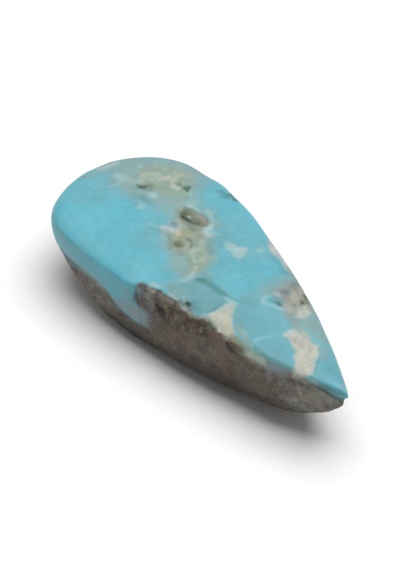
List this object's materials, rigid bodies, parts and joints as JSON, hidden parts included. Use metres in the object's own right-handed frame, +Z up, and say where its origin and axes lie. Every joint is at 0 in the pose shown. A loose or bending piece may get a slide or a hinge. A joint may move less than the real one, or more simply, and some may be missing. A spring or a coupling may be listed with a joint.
{
  "type": "raw turquoise nugget",
  "caption": "Tear-shaped turquoise stone in its host rock, with a ground flat top and raw rounded walls and underside, lying loose on a worn flat.",
  "frame": {"origin": "middle of the stone's box from above, at the height of the surface it rests on", "axes": "+X along the stone to its point, +Z up out of the ground top, +Y to the far wall"},
  "size_m": [0.0362, 0.0148, 0.0069],
  "materials": {
    "turquoise_in_matrix": "waxy low polish on the ground top, with cream, sandy and grey matrix; dull raw brown-grey host rock on the walls and underneath"
  },
  "bodies": {
    "root": {"nugget": "turquoise_in_matrix"}
  },
  "joints": []
}
